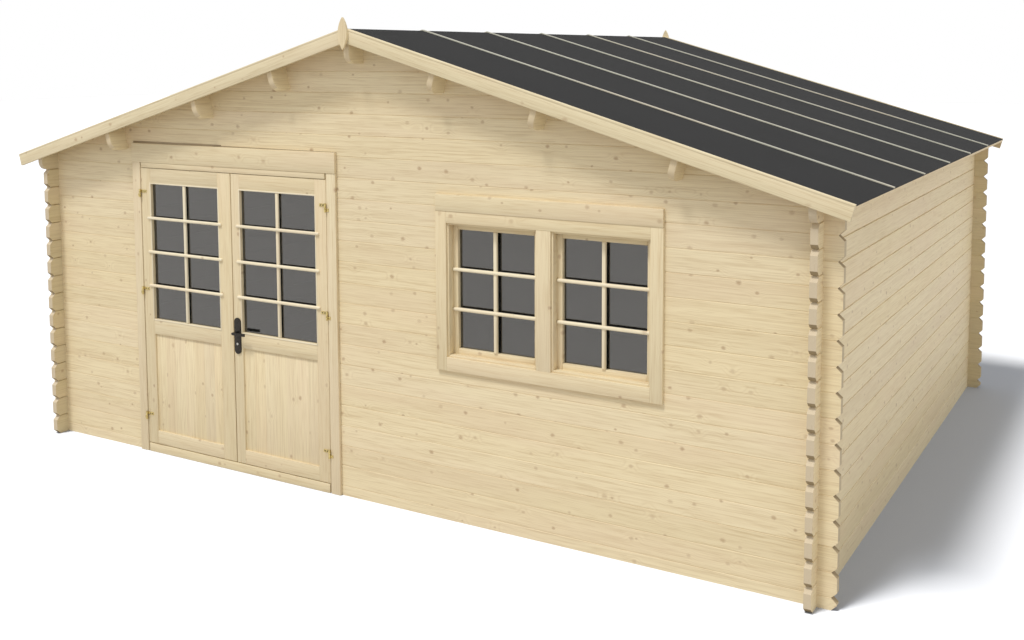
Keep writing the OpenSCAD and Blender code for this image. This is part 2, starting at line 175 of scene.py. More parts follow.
def patterned(name, group, turn, values, relief, gloss):
    """A material that a node group colours, with the grain along the axis that turn brings to X."""
    material, tree, shader = new_material(name)
    place = add_node(tree, "Mapping", {"Vector": object_place(tree), "Rotation": turn}).outputs[0]
    wood = add_node(tree, "Group", {"Place": place, **values}, node_tree=group).outputs
    bump = add_node(tree, "Bump", {"Height": wood["Relief"], "Strength": relief, "Distance": 0.0008})
    tree.links.new(wood["Colour"], shader["Base Color"])
    tree.links.new(wood["Roughness"], shader["Roughness"])
    tree.links.new(bump.outputs[0], shader["Normal"])
    shader["Specular IOR Level"].default_value = gloss
    return material


# Planed spruce: the first coordinate runs along the grain, the third across the
# boards. Each board has its own rings, knots, streaks and tone.
grain = bpy.data.node_groups.new("planed_spruce", "ShaderNodeTree")
given, result = group_sockets(
    grain,
    (("Place", "Vector"), ("Board width", "Float"), ("First joint", "Float"), ("Seed", "Float"),
     ("Knots", "Float"), ("Streaks", "Float"), ("Pale wood", "Color"), ("Dark wood", "Color")),
    (("Colour", "Color"), ("Roughness", "Float"), ("Relief", "Float")))
apart = add_node(grain, "SeparateXYZ", {0: given["Place"]}).outputs
from_joint = calc(grain, "SUBTRACT", apart[2], given["First joint"])
course = calc(grain, "FLOOR", calc(grain, "DIVIDE", from_joint, given["Board width"]))
draw = add_node(grain, "TexWhiteNoise", {"W": calc(grain, "MULTIPLY_ADD", course, 1.7, given["Seed"])},
                noise_dimensions="1D").outputs
own = add_node(grain, "SeparateColor", {0: draw["Color"]}).outputs
along = calc(grain, "MULTIPLY_ADD", draw["Value"], 40.0, apart[0])
middle = calc(grain, "SUBTRACT", from_joint, calc(
    grain, "MULTIPLY", calc(grain, "ADD", course, 0.5), given["Board width"]))
wobble = noise(grain, point(grain, calc(grain, "MULTIPLY", along, 0.7),
                            calc(grain, "MULTIPLY_ADD", apart[1], 3.0, own[0]),
                            calc(grain, "MULTIPLY", apart[2], 5.0)))
knot_cell, knot_least, knot_more = 0.155, 0.0065, 0.0065
knots = add_node(grain, "TexVoronoi", {
    "Vector": point(grain, calc(grain, "DIVIDE", along, knot_cell * 1.3),
                    calc(grain, "MULTIPLY_ADD", own[2], 60.0, calc(grain, "DIVIDE", middle, knot_cell)), 0.0),
    "Scale": 1.0}, voronoi_dimensions="2D").outputs
knot_own = add_node(grain, "SeparateColor", {0: knots["Color"]}).outputs
knot_far = calc(grain, "MULTIPLY", knots["Distance"], knot_cell)
knot_there = calc(grain, "LESS_THAN", knot_own[1], given["Knots"])
knot_size = calc(grain, "MULTIPLY_ADD", knot_own[0], knot_more, knot_least)
ragged = noise(grain, point(grain, calc(grain, "MULTIPLY", along, 70.0), own[0],
                            calc(grain, "MULTIPLY", middle, 110.0)))
knot = calc(grain, "MULTIPLY", knot_there, ramp(
    grain, calc(grain, "MULTIPLY_ADD", ragged, 0.9, calc(grain, "DIVIDE", knot_far, knot_size)),
    0.75, 1.85, 1.0, 0.0))
round_knot = calc(grain, "MULTIPLY", knot_there, ramp(grain, knot_far, 0.0, 0.05, 1.0, 0.0))
from_pith = calc(grain, "ADD", middle, calc(grain, "MULTIPLY_ADD", own[1], 0.10, calc(
    grain, "MULTIPLY_ADD", wobble, 0.06, -0.08)))
pith_deep = calc(grain, "MULTIPLY_ADD", own[2], 0.05, 0.02)
ring_at = calc(grain, "MULTIPLY_ADD", round_knot, 0.012, calc(grain, "SQRT", calc(
    grain, "MULTIPLY_ADD", from_pith, from_pith, calc(grain, "MULTIPLY", pith_deep, pith_deep))))
ring_gap = 0.0075
ring = calc(grain, "POWER", calc(grain, "MULTIPLY_ADD", calc(
    grain, "SINE", calc(grain, "MULTIPLY", ring_at, 2 * math.pi / ring_gap)), 0.5, 0.5), 2.0)
streak = ramp(grain, noise(grain, point(
    grain, calc(grain, "MULTIPLY", along, 1.7), calc(grain, "MULTIPLY", apart[1], 40.0),
    calc(grain, "MULTIPLY_ADD", apart[2], 60.0, own[0])), 3.0), 0.40, 0.72)
short_streak = ramp(grain, noise(grain, point(
    grain, calc(grain, "MULTIPLY", along, 5.5), calc(grain, "MULTIPLY", apart[1], 60.0),
    calc(grain, "MULTIPLY_ADD", apart[2], 150.0, own[1])), 2.0), 0.46, 0.70)
fibre = noise(grain, point(grain, calc(grain, "MULTIPLY", along, 10.0), calc(
    grain, "MULTIPLY", apart[1], 420.0), calc(grain, "MULTIPLY", apart[2], 420.0)), 1.0)
blush = ramp(grain, noise(grain, point(
    grain, calc(grain, "MULTIPLY", along, 0.9), calc(grain, "MULTIPLY", apart[1], 2.0),
    calc(grain, "MULTIPLY_ADD", apart[2], 4.0, own[1])), 1.0), 0.42, 0.75, 0.0, 0.30)
darkness = calc(grain, "MULTIPLY", given["Streaks"], calc(grain, "MULTIPLY_ADD", ring, 0.22, calc(
    grain, "MULTIPLY_ADD", streak, 0.26, calc(grain, "MULTIPLY_ADD", short_streak, 0.42, calc(
        grain, "MULTIPLY", fibre, 0.12)))))
wood = blend_colour(grain, darkness, given["Pale wood"], given["Dark wood"])
wood = blend_colour(grain, blush, wood, (0.76, 0.60, 0.42, 1))
wood = add_node(grain, "HueSaturation", {
    "Hue": 0.5, "Saturation": calc(grain, "MULTIPLY_ADD", own[0], 0.08, 0.96),
    "Value": calc(grain, "MULTIPLY_ADD", own[2], 0.06, 0.97), "Color": wood}).outputs[0]
knot_strength = calc(grain, "MULTIPLY", knot, calc(grain, "MULTIPLY_ADD", knot_own[2], 0.40, 0.25))
wood = blend_colour(grain, knot_strength, wood, (0.38, 0.24, 0.135, 1))
grain.links.new(wood, result["Colour"])
grain.links.new(calc(grain, "MULTIPLY_ADD", darkness, 0.18, 0.52), result["Roughness"])
grain.links.new(calc(grain, "SUBTRACT", 1.0, darkness), result["Relief"])

ALONG_X, ALONG_Y, ALONG_Z = (0, 0, 0), (0, 0, -math.pi / 2), (0, math.pi / 2, 0)


def spruce(name, turn, width=0.135, joint=0.0, seed=0.0, knots=0.6, streaks=0.8,
           pale=(0.82, 0.70, 0.462, 1), dark=(0.57, 0.43, 0.245, 1)):
    """Planed spruce, in boards of that width that start at that joint."""
    return patterned(name, grain, turn, {
        "Board width": width, "First joint": joint, "Seed": seed, "Knots": knots, "Streaks": streaks,
        "Pale wood": pale, "Dark wood": dark}, relief=0.35, gloss=0.3)


# Sawn end grain: growth rings round a pith that lies in or beside the board.
rings = bpy.data.node_groups.new("sawn_end_grain", "ShaderNodeTree")
given, result = group_sockets(
    rings,
    (("Place", "Vector"), ("Board width", "Float"), ("First joint", "Float"), ("Pale ends", "Color"),
     ("Dark ends", "Color")),
    (("Colour", "Color"), ("Roughness", "Float"), ("Relief", "Float")))
apart = add_node(rings, "SeparateXYZ", {0: given["Place"]}).outputs
from_joint = calc(rings, "SUBTRACT", apart[2], given["First joint"])
course = calc(rings, "FLOOR", calc(rings, "DIVIDE", from_joint, given["Board width"]))
own = add_node(rings, "SeparateColor", {0: add_node(
    rings, "TexWhiteNoise", {"W": calc(rings, "MULTIPLY_ADD", course, 1.3, calc(
        rings, "SNAP", apart[1], 0.5))}, noise_dimensions="1D").outputs["Color"]}).outputs
height = calc(rings, "SUBTRACT", calc(rings, "SUBTRACT", from_joint, calc(
    rings, "MULTIPLY", course, given["Board width"])), calc(rings, "MULTIPLY_ADD", own[0], 0.09, 0.02))
sideways = calc(rings, "SUBTRACT", calc(rings, "PINGPONG", apart[1], 0.05), calc(
    rings, "MULTIPLY_ADD", own[1], 0.07, 0.02))
waver = noise(rings, add_node(rings, "VectorMath", {0: given["Place"], 1: (30, 30, 30)},
                              operation="MULTIPLY").outputs[0])
radius = calc(rings, "ADD", calc(rings, "SQRT", calc(rings, "MULTIPLY_ADD", height, height, calc(
    rings, "MULTIPLY", sideways, sideways))), calc(rings, "MULTIPLY", waver, 0.006))
end_ring_gap = 0.006
ring = calc(rings, "MULTIPLY_ADD", calc(rings, "SINE", calc(
    rings, "MULTIPLY", radius, 2 * math.pi / end_ring_gap)), 0.5, 0.5)
pores = noise(rings, add_node(rings, "VectorMath", {0: given["Place"], 1: (700, 700, 700)},
                              operation="MULTIPLY").outputs[0])
shade = calc(rings, "MULTIPLY_ADD", ring, 0.45, calc(rings, "MULTIPLY", pores, 0.4))
rings.links.new(blend_colour(rings, shade, given["Pale ends"], given["Dark ends"]), result["Colour"])
rings.links.new(calc(rings, "SUBTRACT", 1.0, shade), result["Relief"])
result["Roughness"].default_value = 0.8


def end_grain(name, turn, width=0.135, joint=0.0, pale=(0.75, 0.635, 0.45, 1), dark=(0.54, 0.42, 0.27, 1)):
    """The sawn ends of such boards."""
    return patterned(name, rings, turn, {
        "Board width": width, "First joint": joint, "Pale ends": pale, "Dark ends": dark},
        relief=0.3, gloss=0.2)


bearers = ease_edges(from_solid("floor_bearers_sawn", "floor_bearers"), width=0.002)
bearer_wood = spruce("bearer_spruce", ALONG_Y, width=0.7, seed=3.0, pale=(0.72, 0.58, 0.37, 1))
bearer_ends = end_grain("bearer_ends", ALONG_Y, width=0.2)
finish_piece(bearers, "house", [bearer_wood, bearer_ends], ["floor_bearers"],
             lambda face: abs(face.normal.y) > 0.7)


# Floor boards
# Tongue and groove spruce boards that run across the bearers, nailed down.
# Each joint shows as a narrow groove in the upper face.
X, Y, Z = Vector((1, 0, 0)), Vector((0, 1, 0)), Vector((0, 0, 1))
# Points nearer than this count as touching.
near = 0.0002


def slice_at(obj, across, places):
    """Cuts the mesh square to a direction, at those distances along it."""
    only(obj)
    bpy.ops.object.mode_set(mode="EDIT")
    for place in places:
        bpy.ops.mesh.select_all(action="SELECT")
        bpy.ops.mesh.bisect(plane_co=across * place, plane_no=across)
    leave_edit()


def cut_joints(obj, across, places, outward, half, depth):
    """V-joints between boards: three cuts on each joint, then the middle one is pushed in
    on the outermost face of each outward direction."""
    slice_at(obj, across, [place + step for place in places for step in (-half, 0.0, half)])
    for out in outward:
        skin = max(v.co.dot(out) for v in obj.data.vertices)
        pick(obj, "vertices", lambda v: v.co.dot(out) > skin - near
             and min(abs(v.co.dot(across) - place) for place in places) < near)
        bpy.ops.transform.translate(value=-depth * out)
        leave_edit()
    return obj


def equal_boards(low, high, rows):
    """The width of each board, and where the joints between them lie."""
    width = (high - low) / rows
    return width, [low + width * k for k in range(1, rows)]


floor_low, floor_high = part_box("floor_boards")
floor_pitch, floor_joints = equal_boards(floor_low.y, floor_high.y, rows=38)
floor = from_solid("floor_boards_laid", "floor_boards")
cut_joints(floor, Y, floor_joints, [Z], half=0.002, depth=0.003)
floor_wood = spruce("floor_spruce", (math.pi / 2, 0, 0), floor_pitch, floor_low.y, seed=11.0,
                    pale=(0.76, 0.62, 0.40, 1))
finish_piece(floor, "house", [floor_wood], ["floor_boards"])


# Walls
# Planed spruce wall boards, stacked with tongue and groove and cross-lapped at
# the corners, so that their chamfered ends stand out past the crossing wall.
# The front and back walls start with half a board, so all the boards cross in turn.
board_rows, gable_rows = 15, 8
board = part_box("front_wall_middle")[1].z / (board_rows + 0.5)
front_joints = [board * (k + 0.5) for k in range(board_rows + gable_rows)]
side_joints = [board * k for k in range(1, board_rows + 1)]
front_y, back_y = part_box("front_wall_middle")[0].y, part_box("back_wall")[1].y
side_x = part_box("right_wall")[1].x
# Painted shade: a dark end grain tone for the chamfers in the notches, where shade falls between the crossing
# boards.
notch_shade_tones = {"pale": (0.43, 0.335, 0.205, 1), "dark": (0.275, 0.205, 0.115, 1)}
# Painted shade: a darker planed wood tone for the board faces past the crossing wall that are turned towards
# the corner.
corner_shade_tones = {"pale": (0.66, 0.56, 0.35, 1), "dark": (0.46, 0.36, 0.20, 1)}
front_wood = spruce("front_wall_spruce", ALONG_X, board, board / 2, knots=0.85)
front_ends = end_grain("front_wall_ends", ALONG_X, board, board / 2,
                       pale=(0.61, 0.52, 0.365, 1), dark=(0.44, 0.345, 0.22, 1))
front_notch_shade = end_grain("front_wall_notch_shade", ALONG_X, board, board / 2, **notch_shade_tones)
side_wood = spruce("side_wall_spruce", ALONG_Y, board, seed=21.0, knots=0.75, streaks=0.65)
side_ends = end_grain("side_wall_ends", ALONG_Y, board,
                      pale=(0.69, 0.59, 0.43, 1), dark=(0.495, 0.39, 0.255, 1))
side_notch_shade = end_grain("side_wall_notch_shade", ALONG_Y, board, **notch_shade_tones)
front_corner_shade = spruce("front_corner_painted_shade", ALONG_X, board, board / 2, seed=3.0, streaks=0.65,
                       **corner_shade_tones)
side_corner_shade = spruce("side_corner_painted_shade", ALONG_Y, board, seed=23.0, streaks=0.65, **corner_shade_tones)


def front_part(face):
    """Past the side walls: end grain, with painted shade on the chamfers in the notches, and
    planed wood with painted shade on the side turned to the corner. Planed wood elsewhere."""
    if abs(face.center.x) < side_x + near:
        return 0
    if abs(face.normal.x) > 0.3:
        return 2 if abs(face.normal.z) > 0.3 else 1
    return 3 if face.normal.y * face.center.y < -0.7 else 0


for node in ("front_wall_left", "front_wall_middle", "front_wall_under_window", "front_wall_over_window",
             "front_wall_right", "front_gable", "back_wall"):
    low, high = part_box(node)
    wall = from_solid(node + "_boards", node)
    joints = [z for z in front_joints if low.z - near < z < high.z + near]
    cut_joints(wall, Z, joints, [-Y, Y], half=0.003, depth=0.003)
    slice_at(wall, X, [-side_x, side_x])
    finish_piece(wall, "house", [front_wood, front_ends, front_notch_shade, front_corner_shade], [node],
                 front_part)


def side_part(face):
    """The same for the side walls, past the front and back walls, but with the painted notch
    shade only on the chamfers that face down, below the top joint.
    """
    if abs(face.center.y) < back_y + near:
        return 0
    if abs(face.normal.y) > 0.3:
        return 2 if face.normal.z < -0.3 and face.center.z < side_joints[-1] else 1
    return 3 if face.normal.x * face.center.x < -0.7 else 0


for node in ("left_wall", "right_wall"):
    wall = from_solid(node + "_boards", node)
    cut_joints(wall, Z, side_joints, [-X, X], half=0.0045, depth=0.010)
    slice_at(wall, Y, [front_y, back_y])
    finish_piece(wall, "house", [side_wood, side_ends, side_notch_shade, side_corner_shade], [node],
                 side_part)


# Purlins
# Seven spruce boards on edge, let into the gables from front to back under the
# roof boards. Their lower corners are rounded where they stand out at the ends.
purlin_wood = spruce("purlin_spruce", ALONG_Y, width=0.5, joint=1.9, seed=31.0,
                     pale=(0.80, 0.68, 0.43, 1), dark=(0.58, 0.455, 0.26, 1))
purlin_ends = end_grain("purlin_ends", ALONG_Y, width=0.30, joint=0.2,
                        pale=(0.75, 0.625, 0.42, 1), dark=(0.57, 0.45, 0.285, 1))
for node in ("ridge_purlin", "side_purlins"):
    purlin = ease_edges(from_solid(node + "_planed", node), width=0.003)
    finish_piece(purlin, "house", [purlin_wood, purlin_ends], [node],
                 lambda face: abs(face.normal.y) > 0.5)


# Roof boards
# Thin tongue and groove boards nailed across the purlins from ridge to eave.
# Their joints show from below, along the overhangs and inside the room.
slope = math.radians(16.1)
square_to_roof = {side: Vector((sign * math.sin(slope), 0, math.cos(slope)))
                  for side, sign in (("left", -1), ("right", 1))}
for side, up in square_to_roof.items():
    node = "roof_boards_" + side
    low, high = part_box(node)
    roof_pitch, roof_joints = equal_boards(low.y, high.y, rows=54)
    roof = from_solid(node + "_laid", node)
    cut_joints(roof, Y, roof_joints, [-up], half=0.003, depth=0.003)
    roof_wood = spruce("roof_spruce_" + side, (math.pi / 2, 0, 0), roof_pitch, low.y, seed=41.0 + up.x,
                       pale=(0.78, 0.64, 0.41, 1))
    finish_piece(roof, "house", [roof_wood], [node])


# Roofing felt
# Charcoal bitumen felt with mineral granules, laid in strips from eave to eave
# and held down over its laps by the battens.
felt, tree, shader = new_material("granule_felt")
place = object_place(tree)
granules = add_node(tree, "TexVoronoi", {"Vector": place, "Scale": 420.0}).outputs
granule_tone = add_node(tree, "SeparateColor", {0: granules["Color"]}).outputs[0]
weathering = add_node(tree, "TexNoise", {"Vector": place, "Scale": 2.2, "Detail": 4.0}).outputs[0]
tone = calc(tree, "MULTIPLY_ADD", granule_tone, 0.55, calc(tree, "MULTIPLY", weathering, 0.5))
tree.links.new(blend_colour(tree, tone, (0.0062, 0.0061, 0.0060, 1), (0.0200, 0.0198, 0.0196, 1)),
               shader["Base Color"])
relief = add_node(tree, "Bump", {"Height": granules["Distance"], "Strength": 0.5, "Distance": 0.001})
tree.links.new(relief.outputs[0], shader["Normal"])
shader["Roughness"].default_value = 0.92
shader["Specular IOR Level"].default_value = 0.25
for side in ("left", "right"):
    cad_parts["roofing_felt_" + side].data.materials[0] = felt


# Battens on the felt
# Pale planed battens nailed down the slope over the laps of the felt.
# Their edges are eased so that the rain runs off.
for side, up in square_to_roof.items():
    node = "roof_battens_" + side
    battens = ease_edges(from_solid(node + "_nailed", node), width=0.0015)
    batten_wood = spruce("batten_spruce_" + side, (0, -math.asin(up.x), 0), width=0.8, seed=51.0 + up.x,
                         knots=0.1, pale=(0.58, 0.565, 0.475, 1), dark=(0.42, 0.405, 0.32, 1))
    finish_piece(battens, "house", [batten_wood], [node])


# Bargeboards and finials
# Planed boards nailed to the ends of the roof boards and mitred at the ridge, with
# a bead along the rounded upper edge and a pointed cover board over each mitre.
bead = 0.014
for side, up in square_to_roof.items():
    node = "bargeboards_" + side
    barge = from_solid(node + "_planed", node)
    top = max(v.co.dot(up) for v in barge.data.vertices)
    outer = max(v.co.y for v in barge.data.vertices)
    ease_edges(barge, width=0.007, segments=3, where=lambda middle: middle.dot(up) > top - near
               and abs(middle.y) > outer - near)
    ease_edges(barge, width=0.002, sharp=45)
    cut_joints(barge, up, [top - bead], [-Y, Y], half=0.0015, depth=0.0012)
    barge_wood = spruce("barge_spruce_" + side, (0, -math.asin(up.x), 0), width=0.6, joint=1.0,
                        seed=61.0 + up.x, knots=0.5,
                        pale=(0.715, 0.620, 0.412, 1), dark=(0.50, 0.385, 0.22, 1))
    finish_piece(barge, "house", [barge_wood], [node])
finial = ease_edges(from_solid("finials_sawn", "finials"), width=0.001, segments=1, sharp=60)
finial_wood = spruce("finial_spruce", ALONG_Z, width=0.5, joint=-0.25, seed=65.0, knots=0.2)
finish_piece(finial, "house", [finial_wood], ["finials"])


# Door frame
# Rebated spruce jambs and head that clasp the ends of the wall boards, with a plain
# threshold below and a cover board above the head. Over it lies a painted shadow: a dark
# strip in two lengths, an even strip on the left and a thin wedge on the right.
def block(low, high):
    """A squared length of timber between two corners."""
    bpy.ops.object.select_all(action="DESELECT")
    bpy.ops.mesh.primitive_cube_add(size=1, location=(low + high) / 2, scale=high - low)
    bpy.ops.object.transform_apply(location=True, rotation=True, scale=True)
    return bpy.context.object


def timber(name, low, high, ease):
    """The same, with a name and all its edges eased."""
    obj = block(Vector(low), Vector(high))
    obj.name = name
    return ease_edges(obj, ease)


joinery_pale = (0.765, 0.655, 0.435, 1)
jamb_wood = spruce("jamb_spruce", ALONG_Z, width=0.4, joint=0.06, seed=71.0, pale=joinery_pale)
rail_wood = spruce("rail_spruce", ALONG_X, width=0.4, joint=-0.06, seed=75.0, pale=joinery_pale)
for node in ("door_jamb_left", "door_jamb_right"):
    jamb = ease_edges(from_solid(node + "_planed", node), width=0.002)
    finish_piece(jamb, "house", [jamb_wood], [node])
for node in ("door_head", "door_threshold", "door_header_board", "window_header_board"):
    rail = ease_edges(from_solid(node + "_planed", node), width=0.003)
    finish_piece(rail, "house", [rail_wood], [node])
header_low, header_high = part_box("door_header_board")
# Painted shadow: a dark strip over the header board stands for the shade above it, lower and tapering on the
# right.
shadow_strip_wood = spruce("painted_shadow_strip", ALONG_X, width=0.4, seed=78.0, knots=0.0,
                    pale=(0.30, 0.235, 0.145, 1), dark=(0.21, 0.16, 0.095, 1))
strip_proud, strip_in, strip_lap, left_share = 0.004, 0.002, 0.010, 0.46
strip_joint = header_low.x + left_share * (header_high.x - header_low.x)
for side, start, end, rise, taper in (("left", header_low.x, strip_joint, 0.0135, 0.0),
                                      ("right", strip_joint, header_high.x, 0.0065, 0.0040)):
    strip = timber("door_shadow_strip_" + side, (start, front_y - strip_proud, header_high.z - strip_lap),
                   (end, front_y + strip_in, header_high.z + rise), ease=0.001)
    pick(strip, "vertices", lambda v: v.co.z > header_high.z and v.co.x > (start + end) / 2)
    bpy.ops.transform.translate(value=(0, 0, -taper))
    leave_edit()
    finish_piece(strip, "house", [shadow_strip_wood])


# Door leaves
# Framed leaves: upright stiles with rails tenoned between them, a plain panel
# below the middle rail and one large pane above it, both held in grooves.
def join(name, pieces):
    """Several lengths glued into one piece, which keeps the material of each."""
    bpy.ops.object.select_all(action="DESELECT")
    for piece in pieces:
        piece.select_set(True)
    bpy.context.view_layer.objects.active = pieces[0]
    bpy.ops.object.join()
    bpy.context.object.name = name
    bpy.context.object.data.name = name
    return bpy.context.object


def framed(name, uprights, crossways, upright_wood, cross_wood, ease=0.0015):
    """Uprights and cross members as boxes, each with the grain along its length."""
    parts = []
    for boxes, wood in ((uprights, upright_wood), (crossways, cross_wood)):
        for low, high in boxes:
            part = timber(name, low, high, ease)
            part.data.materials.append(wood)
            parts.append(part)
    return join(name, parts)


glass, tree, shader = new_material("window_glass")
shader["Base Color"].default_value = (0.15, 0.15, 0.148, 1)
shader["Roughness"].default_value = 0.015
shader["IOR"].default_value = 1.93
shader["Transmission Weight"].default_value = 0.93
groove, panel_strip = 0.010, 0.094
# As in the photo, the panels and the tops of the leaves stand out a little past their solids.
panel_swell, top_rise = 0.009, 0.0025
openings = {}
for side, seed in (("left", 85.0), ("right", 86.0)):
    body = side + "_leaf"
    low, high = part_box(side + "_door_frame")
    top = high.z + top_rise
    panel_low, panel_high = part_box(side + "_door_panel")
    pane_low, pane_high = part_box(side + "_door_pane")
    left, right = pane_low.x + groove, pane_high.x - groove
    glass_low, glass_high = pane_low.z + groove, pane_high.z - groove
    openings[side] = left, right, glass_low, glass_high
    stile_wood = spruce("stile_spruce_" + side, ALONG_Z, width=0.4, joint=0.05, seed=seed, knots=0.5,
                        pale=joinery_pale)
    leaf_rail_wood = spruce("leaf_rail_spruce_" + side, ALONG_X, width=0.3, joint=0.02, seed=seed + 4,
                            knots=0.5, pale=joinery_pale)
    leaf = framed(
        side + "_door_frame_joinery",
        [((low.x, low.y, low.z), (left, high.y, top)), ((right, low.y, low.z), (high.x, high.y, top))],
        [((left, low.y, under), (right, high.y, over)) for under, over in (
            (low.z, panel_low.z + groove), (panel_high.z - groove, glass_low), (glass_high, top))],
        stile_wood, leaf_rail_wood)
    settle(leaf, body, [side + "_door_frame"])
    panel = from_solid(side + "_door_panel_glued", side + "_door_panel")
    pick(panel, "vertices", lambda v: v.co.y < panel_low.y + near)
    bpy.ops.transform.translate(value=(0, -panel_swell, 0))
    leave_edit()
    ease_edges(panel, width=0.002)
    panel_wood = spruce("panel_spruce_" + side, ALONG_Z, panel_strip, -left, seed=seed + 10)
    finish_piece(panel, body, [panel_wood], [side + "_door_panel"])
    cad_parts[side + "_door_pane"].data.materials[0] = glass


# Glazing bars
# Light half-round bars in front of the panes: upright bars between the rails, and
# cross bars with rounded ends that run over them on to the stiles. A thin bead,
# planted round each door pane, covers the groove that holds it.
def half_round(low, high, wood, end_round=True):
    """A bar with a rounded front: the end corners first, then the rim of its front face.
    Its back gets a dark painted shade, which the glass mirrors as dark bands beside the bar."""
    low, high = Vector(low), Vector(high)
    obj = block(low, high)
    width = min(high.x - low.x, high.z - low.z)
    end_bevel, rim_bevel = 0.46 * width, min(0.40 * width, 0.9 * (high.y - low.y))

    def depths(edge):
        return [obj.data.vertices[i].co.y for i in edge.vertices]

    if end_round:
        pick(obj, "edges", lambda edge: max(depths(edge)) - min(depths(edge)) > near)
        bpy.ops.mesh.bevel(offset=end_bevel, segments=5, affect="EDGES")
        leave_edit()
    pick(obj, "edges", lambda edge: max(depths(edge)) < low.y + near)
    bpy.ops.mesh.bevel(offset=rim_bevel, segments=4, affect="EDGES")
    leave_edit()
    bpy.ops.object.shade_smooth_by_angle(angle=math.radians(50))
    obj.data.materials.append(wood)
    obj.data.materials.append(bar_back_shade)
    for face in obj.data.polygons:
        face.material_index = int(face.normal.y > 0.5)
    return obj


def repeated(piece, steps):
    """The piece and a copy of it, with its own mesh, at each step away."""
    row = [piece]
    for step in steps:
        only(piece)
        bpy.ops.object.duplicate()
        bpy.ops.transform.translate(value=step)
        bpy.ops.object.transform_apply(location=True, rotation=False, scale=False)
        row.append(bpy.context.object)
    return row


# Painted shade: the backs of the bars and beads are coloured dark for the shade behind them, which the glass
# mirrors.
bar_back_shade, tree, shader = new_material("bar_back_painted_shade")
back_mottle = add_node(tree, "TexNoise", {"Vector": object_place(tree), "Scale": 900.0}).outputs[0]
tree.links.new(blend_colour(tree, back_mottle, (0.09, 0.083, 0.075, 1), (0.15, 0.14, 0.125, 1)),
               shader["Base Color"])
shader["Roughness"].default_value = 0.9
bar_x, bar_z = (
    spruce(name, turn, width=0.5, joint=0.1, seed=seed, knots=0.1, streaks=0.7,
           pale=(0.84, 0.755, 0.56, 1), dark=(0.66, 0.55, 0.365, 1))
    for name, turn, seed in (("bar_spruce_x", ALONG_X, 101.0), ("bar_spruce_z", ALONG_Z, 105.0)))
bar_high, bar_wide, bar_lap, bar_proud = 0.021, 0.024, 0.034, 0.013
upright_proud, upright_to_pane = 0.001, 0.007
pane_bead, bead_proud, bead_in = 0.010, 0.003, 0.001
leaf_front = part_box("left_door_frame")[0].y
pane_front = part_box("left_door_pane")[0].y
for side, (left, right, low, high) in openings.items():
    row_high = (high - low) / 4
    first = low + row_high - bar_high / 2
    cross_bar = half_round((left - bar_lap, leaf_front - bar_proud, first),
                           (right + bar_lap, leaf_front, first + bar_high), bar_x)
    bars = repeated(cross_bar, [row_high * Z, 2 * row_high * Z])
    middle = (left + right) / 2
    bars.append(half_round((middle - bar_wide / 2, leaf_front - upright_proud, low),
                           (middle + bar_wide / 2, pane_front - upright_to_pane, high), bar_z,
                           end_round=False))
    settle(join(side + "_door_bars", bars), side + "_leaf")
    front, back = leaf_front - bead_proud, leaf_front + bead_in
    upright_bead = half_round((left - pane_bead, front, low - pane_bead), (left, back, high + pane_bead),
                              bar_z, end_round=False)
    cross_bead = half_round((left, front, low - pane_bead), (right, back, low), bar_x, end_round=False)
    beads = repeated(upright_bead, [(right - left + pane_bead) * X])
    beads += repeated(cross_bead, [(high - low + pane_bead) * Z])
    settle(join(side + "_pane_beads", beads), side + "_leaf")


# Hinges
# Brass-plated cranked hinges: an arm held by two dark screws on the face of the
# leaf, turning on a pin that a short arm carries on the jamb.
def metal(name, colour, worn, roughness, metallic=1.0):
    """Metal with smudges of a second, worn tone, which are also duller."""
    material, tree, shader = new_material(name)
    smudge = add_node(tree, "TexNoise", {
        "Vector": object_place(tree), "Scale": 90.0, "Detail": 4.0}).outputs[0]
    tone = blend_colour(tree, ramp(tree, smudge, 0.35, 0.75), colour, worn)
    tree.links.new(tone, shader["Base Color"])
    tree.links.new(calc(tree, "MULTIPLY_ADD", smudge, 0.25, roughness), shader["Roughness"])
    shader["Metallic"].default_value = metallic
    return material


def round_head(place, outward, radius, height, dish):
    """A turned head on a face that looks along Y: a disc with a dished middle and a rounded rim."""
    bpy.ops.object.select_all(action="DESELECT")
    bpy.ops.mesh.primitive_cylinder_add(vertices=16, radius=radius, depth=height, location=place,
                                        rotation=(math.pi / 2, 0, 0))
    obj = bpy.context.object
    bpy.ops.object.transform_apply(location=True, rotation=True, scale=True)
    pick(obj, "polygons", lambda face: face.normal.y * outward > 0.9)
    bpy.ops.mesh.inset(thickness=radius * 0.45)
    bpy.ops.transform.translate(value=(0, -outward * dish, 0))
    leave_edit()

    def on_rim(i):
        reach = obj.data.vertices[i].co - Vector(place)
        return reach.y * outward > height * 0.4 and math.hypot(reach.x, reach.z) > radius * 0.9

    pick(obj, "edges", lambda edge: all(on_rim(i) for i in edge.vertices))
    bpy.ops.mesh.bevel(offset=height * 0.3, segments=2, affect="EDGES")
    leave_edit()
    bpy.ops.object.shade_smooth_by_angle(angle=math.radians(40))
    return obj


